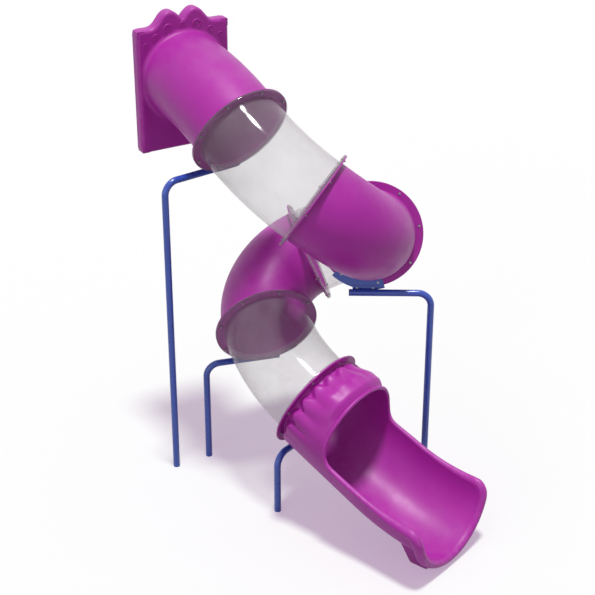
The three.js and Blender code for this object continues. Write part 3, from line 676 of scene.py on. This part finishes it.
def lip_mesh(name):
    """The rolled lip: half an ellipse in front and half a rounder one behind, carried round the rim. Outward
    it reaches from the wall's inner side, and its front ends a fixed overhang past the rim."""
    far = chute_length - 2 * JOINT_GAP
    share = np.linspace(0, 1, 150)
    straight = np.linspace(HOOD_LENGTH + RIM_CORNER, far - RIM_END_ROUND, 150)
    end_curve = far - RIM_END_ROUND * (1 - np.sin(share * QUARTER_TURN))
    side = np.r_[HOOD_LENGTH + RIM_CORNER * share**2, straight[1:], end_curve[1:]]
    wide = float(rim_angle(side[-1]))
    across = QUARTER_TURN + np.linspace(wide, FULL_TURN - wide, 200)[1:-1]
    distance = np.r_[side, far + 0 * across, side[::-1]]
    angle = np.r_[rim_angle(side), across - QUARTER_TURN, FULL_TURN - rim_angle(side[::-1])]
    path, _ = chute_points(distance, QUARTER_TURN + angle, CHUTE_WALL / 2)
    run = np.r_[0, np.cumsum(np.linalg.norm(np.diff(path, axis=0), axis=1))]
    spots = np.arange(LIP_STEPS) / LIP_STEPS * run[-1]
    distance, angle = np.interp(spots, run, distance), QUARTER_TURN + np.interp(spots, run, angle)
    path, outward = chute_points(distance, angle, CHUTE_WALL / 2)
    size, front = (scale[:, None] for scale in lip_size(distance))
    for _ in range(LIP_SMOOTHINGS):
        path, outward = ((np.roll(a, 1, 0) + 2 * a + np.roll(a, -1, 0)) / 4 for a in (path, outward))
    heading = unit(np.roll(path, -1, 0) - np.roll(path, 1, 0))
    beyond = -unit(np.cross(heading, outward))
    outward = np.cross(heading, beyond)
    turn = round_angles(LIP_SIDES)
    reach = LIP_INSIDE + LIP_OUTWARD * size * (1 + np.cos(turn))
    along = np.where(np.sin(turn) > 0, LIP_FRONT * front, LIP_BACK * size)
    over = LIP_BEYOND - LIP_FRONT * front + along * np.sin(turn)
    points = path[:, None] + reach[..., None] * outward[:, None] + over[..., None] * beyond[:, None]
    return grid_mesh(name, points, edge=smooth_step(np.sin(turn), 0.3, 0.9) + 0 * reach)


def block_mesh(name):
    """A tapered block from the ground up into the chute's wall: a rounded rectangle that leans out, cut off
    where it meets the chute, with a top that is pushed out to the chute's round."""
    stations = np.linspace(BLOCK_SEARCH_FROM, chute_length, 240)
    line, _, _ = chute_line(stations)
    middle, travel, _ = chute_line(np.array(chute_length - BLOCK_FROM_END - BLOCK_LENGTH / 2))
    ahead = unit(np.array([travel[0], travel[1], 0.0]))
    aside = np.array([-ahead[1], ahead[0], 0.0])
    height = middle[2] - BLOCK_TOP_SHARE * CHUTE_BORE
    around = round_angles(96)
    square = squared_reach(around, BLOCK_SQUARENESS)
    x, y = square * np.cos(around), square * np.sin(around)

    def spots(share, inset):
        """Points of the block's sides: share of the way up, and how far they are drawn in."""
        long = BLOCK_LENGTH / 2 + BLOCK_DRAFT * share - inset
        wide = BLOCK_WIDTH / 2 + BLOCK_SIDE_DRAFT * share - inset
        ground = middle * [1, 1, 0]
        flat = (long * x)[..., None] * ahead + (wide * y)[..., None] * aside
        return ground + flat + (height * share + 0 * x)[..., None] * LEVEL_UP

    def depth_in(points):
        """How far points lie inside the middle of the chute's wall, and the nearest centre line point."""
        apart = np.linalg.norm(points[..., None, :] - line, axis=-1)
        return CHUTE_BORE + CHUTE_WALL / 2 - apart.min(axis=-1), line[apart.argmin(axis=-1)]

    climb = np.linspace(0, 1, 160)
    met = np.stack([depth_in(spots(share, 0.0))[0] > 0 for share in climb])
    top = np.where(met.any(axis=0), climb[met.argmax(axis=0)], 1.0)
    sides = [spots(top * share, 0.0) for share in np.linspace(0, 1, 14)]
    sides[0] = spots(0 * top, BLOCK_ROUND / 2)
    sides.insert(1, spots(0 * top + BLOCK_ROUND_SHARE, BLOCK_ROUND / 8))
    crown, centre = sides[-1], sides[-1].mean(axis=0)
    caps = []
    for share in (0.8, 0.6, 0.4, 0.2, 0.0):
        flat = centre + (crown - centre) * share
        _, near = depth_in(flat)
        caps.append(near + unit(flat - near) * (CHUTE_BORE + CHUTE_WALL / 2))
    floor_middle = sides[0].mean(axis=0) + 0 * sides[0]
    return grid_mesh(name, np.stack([floor_middle, *sides, *caps]), loop=False)


# Posts
def pipe_meshes(name, joint, rim, side, reach):
    """A pipe that rises from the ground, bends by a quarter circle and runs on level under the flange, with
    its inner wall, and the plug in the arm's open end."""
    arm = joint.point - (rim + ARM_DROP) * joint.up + side * ARM_AT * joint.travel
    ahead = joint.left
    foot = arm - reach * ahead
    height, length = arm[2], reach + ARM_OVERSHOOT
    t = np.linspace(0, QUARTER_TURN, 19)
    climb, run = np.linspace(0, height - PIPE_BEND, 8)[:-1], np.linspace(PIPE_BEND, length, 7)[1:]
    x = np.r_[0 * climb, PIPE_BEND * (1 - np.cos(t)), run]
    z = np.r_[climb, height - PIPE_BEND * (1 - np.sin(t)), height + 0 * run]
    lean = np.r_[0 * climb, t, QUARTER_TURN + 0 * run]
    line = foot * [1, 1, 0] + x[:, None] * ahead + z[:, None] * LEVEL_UP
    across = np.cross(LEVEL_UP, ahead)
    inward = np.cos(lean)[:, None] * ahead - np.sin(lean)[:, None] * LEVEL_UP
    around = round_angles(48)
    spokes = np.cos(around)[:, None] * inward[:, None] + np.sin(around)[:, None] * across
    wall = line[:, None] + PIPE_RADIUS * spokes
    hollow = (line[:, None] + (PIPE_RADIUS - PIPE_WALL) * spokes)[::-1]
    pipe = grid_mesh(f"{name}_pipe", np.concatenate([wall, hollow]))

    start, edge = 2 * JOINT_GAP, CAP_DEPTH / 2
    s = np.linspace(0, QUARTER_TURN, 5)
    offsets = np.r_[start, start, start + edge + edge * np.sin(s), start + CAP_DEPTH]
    radii = np.r_[0, PIPE_RADIUS, PIPE_RADIUS - edge + edge * np.cos(s), 0]
    tip = SimpleNamespace(point=line[-1], travel=ahead, left=across, up=np.cross(ahead, across))
    return pipe, grid_mesh(f"{name}_arm_plug", ring_rows(tip, offsets, radii, around), loop=False)


def welded_copy(name, node):
    """A copy of a CAD node that a bevel can round the edges of."""
    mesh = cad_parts[node].data.copy()
    mesh.name = name
    mesh.materials.clear()
    return welded(mesh, CAD_WELD, flattened=True)


def soften(piece):
    bevel = piece.modifiers.new("soft_edges", "BEVEL")
    bevel.width = SOFT_EDGE
    bevel.segments = 2
    bevel.limit_method = "ANGLE"
    bevel.angle_limit = BEVEL_ANGLE


# Bolts
def bolt_grid(place, x, y, start, end):
    """A bolt, its washers and its nut as one turned profile; head and nut are six-sided, where the radius
    is the half width over the cosine of the angle from the middle of the nearest flat."""
    head, nut = start - 2 * JOINT_GAP, end + 2 * JOINT_GAP
    top, tip, tail = head - HEAD_HEIGHT, nut + NUT_HEIGHT, nut + NUT_HEIGHT + BOLT_TAIL
    rows = [(top, 0, 0), (top, HEAD_FLAT, 0), (top + HEAD_CHAMFER, HEAD_CORNER, 1)]
    rows += [(head - WASHER_DEPTH, HEAD_CORNER, 1), (head - WASHER_DEPTH, WASHER_RADIUS, 0)]
    rows += [(head, WASHER_RADIUS, 0), (head, BOLT_RADIUS, 0), (nut, BOLT_RADIUS, 0), (nut, WASHER_RADIUS, 0)]
    rows += [(nut + WASHER_DEPTH, WASHER_RADIUS, 0), (nut + WASHER_DEPTH, HEAD_CORNER, 1)]
    rows += [(tip - HEAD_CHAMFER, HEAD_CORNER, 1), (tip, HEAD_FLAT, 0), (tip, BOLT_RADIUS, 0)]
    rows += [(tip + 0.8 * BOLT_TAIL, BOLT_RADIUS, 0), (tail, 0.7 * BOLT_RADIUS, 0), (tail, 0, 0)]
    flat = math.radians(30)
    six_sided = math.cos(flat) / np.cos(round_angles(24) % (2 * flat) - flat)
    return turned_grid(place, x, y, rows, six_sided)


def flange_bolts(place, side):
    """Bolt grids of one joint; the first two also pass the saddle, where the joint has one."""
    grids = []
    for index in range(BOLT_COUNT):
        angle = BOLT_FIRST + index * FULL_TURN / BOLT_COUNT
        saddle = SADDLE_AT + PLATE if side and index < 2 else FLANGE_DEPTH
        start = -saddle if side < 0 else -FLANGE_DEPTH
        end = saddle if side > 0 else FLANGE_DEPTH
        x, y = BOLT_CIRCLE * math.cos(angle), BOLT_CIRCLE * math.sin(angle)
        grids.append(bolt_grid(place, x, y, start, end))
    return grids


# Materials
def feed(tree, inputs, feeds):
    """Gives each named input a value of its own, or a link from a socket."""
    for key, value in feeds.items():
        if isinstance(value, bpy.types.NodeSocket):
            tree.links.new(value, inputs[key])
        else:
            inputs[key].default_value = value


def put(tree, kind, feeds=None, **settings):
    """Adds a shader node and gives its outputs: settings are its own properties, feeds are for its inputs."""
    made = tree.nodes.new(f"ShaderNode{kind}")
    for key, value in settings.items():
        setattr(made, key, value)
    feed(tree, made.inputs, feeds or {})
    return made.outputs


def mixed(tree, share, first, second):
    return put(tree, "Mix", {0: share, 6: first, 7: second}, data_type="RGBA")[2]


def ranged(tree, value, low, high, start=0.0, end=1.0):
    feeds = {"Value": value, "From Min": low, "From Max": high, "To Min": start, "To Max": end}
    return put(tree, "MapRange", feeds)["Result"]


def reckoned(tree, operation, first, *others):
    for other in others:
        first = put(tree, "Math", {0: first, 1: other}, operation=operation)[0]
    return first


def noise(tree, vector, scale, detail=2.0, roughness=0.5):
    feeds = {"Vector": vector, "Scale": scale, "Detail": detail, "Roughness": roughness}
    return put(tree, "TexNoise", feeds)["Fac"]


SOCKET_KINDS = {"Place": "Vector", "Run": "Vector", "Deep": "Color", "Pale": "Color", "Colour": "Color"}


def group_of(build, output, *inputs):
    """A node group with one output, whose nodes a function puts in from the group's named inputs."""
    tree = bpy.data.node_groups.new(build.__name__, "ShaderNodeTree")
    for label in (*inputs, output):
        way, kind = "OUTPUT" if label == output else "INPUT", SOCKET_KINDS.get(label, "Float")
        tree.interface.new_socket(label, in_out=way, socket_type=f"NodeSocket{kind}")
    given = tree.nodes.new("NodeGroupInput").outputs
    feed(tree, tree.nodes.new("NodeGroupOutput").inputs, {output: build(tree, given)})
    return tree


def skin_grain(tree, given):
    """Height of a moulded or sprayed skin: a fine pebble and a broad swell."""
    pebble = noise(tree, given["Place"], given["Pebble"], 3.0, 0.6)
    swell = noise(tree, given["Place"], given["Swell"], 1.0)
    return reckoned(tree, "ADD", pebble, reckoned(tree, "MULTIPLY", swell, given["Swell share"]))


def tone_drift(tree, given):
    """A colour that drifts slowly between two near tones."""
    share = ranged(tree, noise(tree, given["Place"], given["Scale"], 3.0), 0.3, 0.7)
    return mixed(tree, share, given["Deep"], given["Pale"])


def ride_scratches(tree, given):
    """Fine scratches that run the way riders go, on the surface's own unrolled place."""
    drawn = put(tree, "Mapping", {"Vector": given["Run"], "Scale": (260.0, 3.2, 1.0)})[0]
    lines = ranged(tree, noise(tree, drawn, 1.0, 3.0, 0.65), 0.54, 0.72)
    patches = ranged(tree, noise(tree, given["Run"], 3.0, 2.0), 0.42, 0.62)
    return reckoned(tree, "MULTIPLY", lines, patches, given["Amount"])


def settled_dust(tree, given):
    """Dust that settles in patches on faces that look up."""
    upward = put(tree, "SeparateXYZ", {0: put(tree, "NewGeometry")["Normal"]})["Z"]
    patches = ranged(tree, noise(tree, given["Place"], 7.0, 5.0, 0.6), 0.35, 0.75)
    return reckoned(tree, "MULTIPLY", ranged(tree, upward, 0.35, 1.0), patches, given["Amount"])


def edge_rub_and_sheen(tree, given):
    """Pale rubbing and a painted highlight where the piece's edge attribute is high, broken up by noise."""
    broken = ranged(tree, noise(tree, given["Place"], 24.0, 4.0, 0.6), 0.4, 0.66)
    return reckoned(tree, "MULTIPLY", given["Edge"], broken, given["Amount"])


grain = group_of(skin_grain, "Height", "Place", "Pebble", "Swell", "Swell share")
drift = group_of(tone_drift, "Colour", "Place", "Scale", "Deep", "Pale")
scratches = group_of(ride_scratches, "Mask", "Run", "Amount")
dust = group_of(settled_dust, "Mask", "Place", "Amount")
rub_and_sheen = group_of(edge_rub_and_sheen, "Mask", "Edge", "Place", "Amount")


def start_material(name):
    material = bpy.data.materials.new(name)
    material.use_nodes = True
    tree = material.node_tree
    return material, tree, tree.nodes["Principled BSDF"].inputs, put(tree, "TexCoord")["Object"]


def use(tree, group, feeds):
    return put(tree, "Group", feeds, node_tree=group)[0]


def tones(tree, place, scale, deep, pale):
    return use(tree, drift, {"Place": place, "Scale": scale, "Deep": (*deep, 1), "Pale": (*pale, 1)})


def patchy(tree, place, scale, detail, low, high, spread=0.25):
    """A value that goes from low to high as a noise passes its middle, by spread on both sides."""
    return ranged(tree, noise(tree, place, scale, detail), 0.5 - spread, 0.5 + spread, low, high)


def relief(tree, place, pebble, swell, swell_share, depth, strength):
    feeds = {"Place": place, "Pebble": pebble, "Swell": swell, "Swell share": swell_share}
    feeds = {"Height": use(tree, grain, feeds), "Distance": depth, "Strength": strength}
    return put(tree, "Bump", feeds)[0]


def mark_of(tree, name):
    return put(tree, "Attribute", attribute_name=name)["Fac"]


def bed_scratches(tree, bed, amount):
    run = put(tree, "UVMap", uv_map="run")[0]
    return reckoned(tree, "MULTIPLY", use(tree, scratches, {"Run": run, "Amount": amount}), bed)


def moulded_purple():
    """Rotomoulded polyethylene: satin, faintly pebbled, pale where riders and hands rub it, with a painted
    highlight in the pale along its rounded edges.
    """
    material, tree, shader, place = start_material("moulded_purple")
    bed = mark_of(tree, "bed")
    scratched = bed_scratches(tree, bed, 0.3)
    # Pale along the rounded edges: partly rubbing, partly a painted highlight.
    rubbed_and_sheen = use(tree, rub_and_sheen, {"Edge": mark_of(tree, "edge"), "Place": place, "Amount": 0.16})
    dusty = use(tree, dust, {"Place": place, "Amount": 0.07})
    tone = tones(tree, place, 1.7, (0.385, 0.014, 0.330), (0.435, 0.022, 0.372))
    tone = mixed(tree, scratched, tone, (0.72, 0.30, 0.67, 1))
    tone = mixed(tree, rubbed_and_sheen, tone, (0.66, 0.22, 0.60, 1))
    rough = patchy(tree, place, 9.0, 4.0, 0.38, 0.48)
    rough = reckoned(tree, "SUBTRACT", rough, reckoned(tree, "MULTIPLY", bed, 0.02))
    feeds = {"Base Color": mixed(tree, dusty, tone, (0.60, 0.50, 0.56, 1))}
    feeds["Roughness"] = reckoned(tree, "ADD", rough, scratched)
    feeds["Normal"] = relief(tree, place, 520.0, 26.0, 0.9, 0.0005, 0.35)
    feed(tree, shader, {**feeds, "IOR": 1.5, "Specular IOR Level": 0.38})
    return material


def clear_shell():
    """Clear sheet with a grey haze: denser where it is seen edge on, with faint scratches and dust, and
    painted shade on its flange rims.
    """
    material, tree, shader, place = start_material("clear_shell")
    edge = mark_of(tree, "edge")
    scratched = bed_scratches(tree, mark_of(tree, "bed"), 0.16)
    dusty = use(tree, dust, {"Place": place, "Amount": 0.06})
    haze = tones(tree, place, 2.2, (0.50, 0.44, 0.50), (0.57, 0.51, 0.57))
    grazing = put(tree, "LayerWeight", {"Blend": 0.5})["Facing"]
    seen = ranged(tree, reckoned(tree, "POWER", grazing, 3.0), 0.0, 1.0, 0.115, 0.42)
    # The flange rims are painted dark grey and made denser: painted shade on the clear flanges' edges.
    rim = reckoned(tree, "MULTIPLY", edge, 0.45)
    feeds = {"Base Color": mixed(tree, edge, haze, (0.17, 0.14, 0.17, 1))}
    feeds["Alpha"] = reckoned(tree, "ADD", seen, scratched, dusty, rim)
    feeds["Roughness"] = patchy(tree, place, 5.0, 4.0, 0.05, 0.13, 0.2)
    feeds["Normal"] = relief(tree, place, 60.0, 7.0, 2.0, 0.0004, 0.12)
    feed(tree, shader, {**feeds, "IOR": 1.58})
    return material


def powder_blue():
    """Powder coat on steel: glossy, with a fine orange peel."""
    material, tree, shader, place = start_material("powder_blue")
    tone = tones(tree, place, 3.0, (0.018, 0.062, 0.420), (0.025, 0.082, 0.500))
    dusty = use(tree, dust, {"Place": place, "Amount": 0.1})
    feeds = {"Base Color": mixed(tree, dusty, tone, (0.42, 0.42, 0.46, 1))}
    feeds["Roughness"] = patchy(tree, place, 14.0, 4.0, 0.22, 0.34)
    feeds["Normal"] = relief(tree, place, 900.0, 260.0, 1.2, 0.00025, 0.5)
    feed(tree, shader, {**feeds, "Coat Weight": 0.35, "Coat Roughness": 0.12})
    return material


def dark_plug():
    """Matt moulded plug in the end of an arm."""
    material, tree, shader, place = start_material("dark_plug")
    feeds = {"Base Color": tones(tree, place, 20.0, (0.009, 0.018, 0.100), (0.013, 0.025, 0.130))}
    feeds["Roughness"] = patchy(tree, place, 40.0, 3.0, 0.5, 0.62)
    feeds["Normal"] = relief(tree, place, 1500.0, 300.0, 0.4, 0.0002, 0.5)
    feed(tree, shader, feeds)
    return material


def plated_zinc():
    """Zinc plate on bolts: a bright metal with a faint spangle and dull patches."""
    material, tree, shader, place = start_material("plated_zinc")
    feeds = {"Base Color": tones(tree, place, 160.0, (0.20, 0.20, 0.21), (0.33, 0.33, 0.35))}
    feeds["Roughness"] = patchy(tree, place, 220.0, 4.0, 0.34, 0.54, 0.2)
    feeds["Normal"] = relief(tree, place, 2600.0, 500.0, 0.5, 0.0001, 0.4)
    feed(tree, shader, {**feeds, "Metallic": 1.0})
    return material


# Each finish with the slot that it stands for
purple = (moulded_purple(), "purple_plastic")
clear = (clear_shell(), "clear_plastic")
blue = (powder_blue(), "blue_steel")
plug = (dark_plug(), "cap_plastic")
zinc = (plated_zinc(), "zinc_bolts")

# Pieces
add_piece(entrance_mesh("entrance_moulding"), purple, "entrance_panel")
scroll_grids = [grid(*sizes) for sizes in SCROLLS for grid in (scroll_grid, button_grid)]
add_piece(many_grids("panel_scrolls", scroll_grids), purple)
boss_room = BOSS_SIDE / 2 + PANEL_WALL / 2
boss_side, boss_heights = PANEL_WIDTH / 2 - boss_room, (boss_room - PANEL_BELOW, SHOULDER - boss_room)
boss_grids = [boss_grid(x, y) for x in (-boss_side, boss_side) for y in boss_heights]
add_piece(many_grids("deck_bosses", boss_grids), purple)

TUBES = {"upper_clear_tube": clear, "right_elbow": purple, "rear_clear_elbow": clear}
TUBES |= {"left_elbow": purple, "lower_clear_tube": clear}
for (node, finish), bend in zip(TUBES.items(), bends[1:]):
    add_piece(tube_mesh(f"{node}_shell", bend), finish, node)

add_piece(chute_mesh("exit_hood_and_trough"), purple, "exit_chute")
add_piece(lip_mesh("exit_rolled_lip"), purple)
add_piece(block_mesh("exit_ground_block"), purple, "exit_foot")

# Each post's joint, its flange's radius, the side of the flanges that its saddle is on, and its reach
SUPPORTS = {"tall": (upper_joint, FLANGE_RIM, -1, 0.579), "right": (right_joint, FLANGE_RIM, -1, 0.532)}
SUPPORTS |= {"left": (left_joint, FLANGE_RIM, -1, 0.500), "short": (exit_joint, EXIT_FLANGE_RIM, 1, 0.318)}
for name, (joint, rim, side, reach) in SUPPORTS.items():
    pipe, cap = pipe_meshes(name, joint, rim, side, reach)
    add_piece(pipe, blue, f"{name}_post")
    add_piece(cap, plug, f"{name}_arm_cap")
    for node in (f"{name}_saddle", f"{name}_arm_lug"):
        soften(add_piece(welded_copy(f"{node}_plate", node), blue, node))
    faces = sorted([side * SADDLE_AT, side * (LUG_AT + PLATE)])
    spots = [(LUG_SHIFT + way * LUG_BOLT_HALF, -(rim + LUG_BOLT_DROP)) for way in (-1, 1)]
    lug_bolts = many_grids(f"{name}_lug_bolts", [bolt_grid(joint, *spot, *faces) for spot in spots])
    add_piece(lug_bolts, zinc, *(f"{name}_lug_bolt_{k}" for k in (1, 2)))

SADDLE_SIDES = {"upper": -1, "middle": 0, "right": -1, "rear": 0, "left": -1, "exit": 1}
for (name, side), joint in zip(SADDLE_SIDES.items(), joints):
    ring_bolts = many_grids(f"{name}_ring_bolts", flange_bolts(joint, side))
    add_piece(ring_bolts, zinc, *(f"{name}_flange_bolt_{k}" for k in (1, 2, 3, 4)))

# Floor, light and camera
FLOOR_HALF = 90.0
# The floor's tone and its lift for camera rays differ by channel, so the lit floor still clips to white while
# its shadow reads lilac: a painted lilac tint in the shadow.
FLOOR_TONE_FOR_LILAC_SHADOW = (0.50, 0.60, 0.485)
FLOOR_BOUNCE = (0.28, 0.28, 0.28)
FLOOR_LIFT_FOR_LILAC_SHADOW = (0.40, 0.28, 0.42)
SKY_STRENGTH = 0.34
SUN_STRENGTH = 2.6
SUN_SOFTNESS = math.radians(8)
SUN_TRAVEL = (-0.095, 0.01, -1.0)
FILL_STRENGTH = 0.65
FILL_SOFTNESS = math.radians(50)
FILL_TRAVEL = (-0.45, 0.88, -0.12)
CAMERA_SPOT = (9.6273, -5.7998, 7.6585)
CAMERA_HEADING = (-0.8669, 0.4984)
CAMERA_PITCH = math.radians(27.18)
CAMERA_LENS = 90.71  # millimetres, as the sensor's width
SENSOR_WIDTH = 36.0
CLEAR_LAYERS = 24  # that a ray may pass, because it crosses many clear walls here


def seen_directly(tree):
    """1 for rays that should find the plain white surroundings: camera, glossy and transmission rays."""
    path = put(tree, "LightPath")
    rays = (path[f"Is {kind} Ray"] for kind in ("Camera", "Glossy", "Transmission"))
    return reckoned(tree, "MAXIMUM", *rays)


def make_floor():
    corners = [(-1, -1), (1, -1), (1, 1), (-1, 1)]
    mesh = bpy.data.meshes.new("studio_floor")
    mesh.from_pydata([(x * FLOOR_HALF, y * FLOOR_HALF, 0.0) for x, y in corners], [], [(0, 1, 2, 3)])
    object_of(mesh)
    material, tree, shader, _ = start_material("studio_floor")
    direct = seen_directly(tree)
    # Seen directly, the floor's tone and lift paint a lilac tint into its shadow.
    feeds = {"Base Color": mixed(tree, direct, (*FLOOR_BOUNCE, 1), (*FLOOR_TONE_FOR_LILAC_SHADOW, 1)), "Roughness": 1.0}
    feeds |= {"Emission Color": (*FLOOR_LIFT_FOR_LILAC_SHADOW, 1), "Emission Strength": direct, "Specular IOR Level": 0.0}
    feed(tree, shader, feeds)
    mesh.materials.append(material)


def make_world():
    world = bpy.data.worlds.new("studio")
    world.use_nodes = True
    tree = world.node_tree
    strength = ranged(tree, seen_directly(tree), 0.0, 1.0, SKY_STRENGTH, 1.0)
    feed(tree, tree.nodes["Background"].inputs, {"Color": (1, 1, 1, 1), "Strength": strength})
    bpy.context.scene.world = world


def hold(data, looking):
    """An object that holds a lamp or camera and looks one way."""
    holder = object_of(data)
    holder.rotation_mode = "QUATERNION"
    holder.rotation_quaternion = Vector(looking).to_track_quat("-Z", "Y")
    return holder


def add_sun(name, strength, softness, travel):
    lamp = bpy.data.lights.new(name, "SUN")
    lamp.energy = strength
    lamp.angle = softness
    hold(lamp, travel)


def make_camera():
    camera = bpy.data.cameras.new("camera")
    camera.lens = CAMERA_LENS
    camera.sensor_width = SENSOR_WIDTH
    level = math.cos(CAMERA_PITCH)
    looking = (CAMERA_HEADING[0] * level, CAMERA_HEADING[1] * level, -math.sin(CAMERA_PITCH))
    holder = hold(camera, looking)
    holder.location = CAMERA_SPOT
    bpy.context.scene.camera = holder


make_floor()
make_world()
make_camera()
add_sun("sun", SUN_STRENGTH, SUN_SOFTNESS, SUN_TRAVEL)
add_sun("fill", FILL_STRENGTH, FILL_SOFTNESS, FILL_TRAVEL)
bpy.context.scene.view_settings.view_transform = "Standard"
bpy.context.scene.cycles.transparent_max_bounces = CLEAR_LAYERS
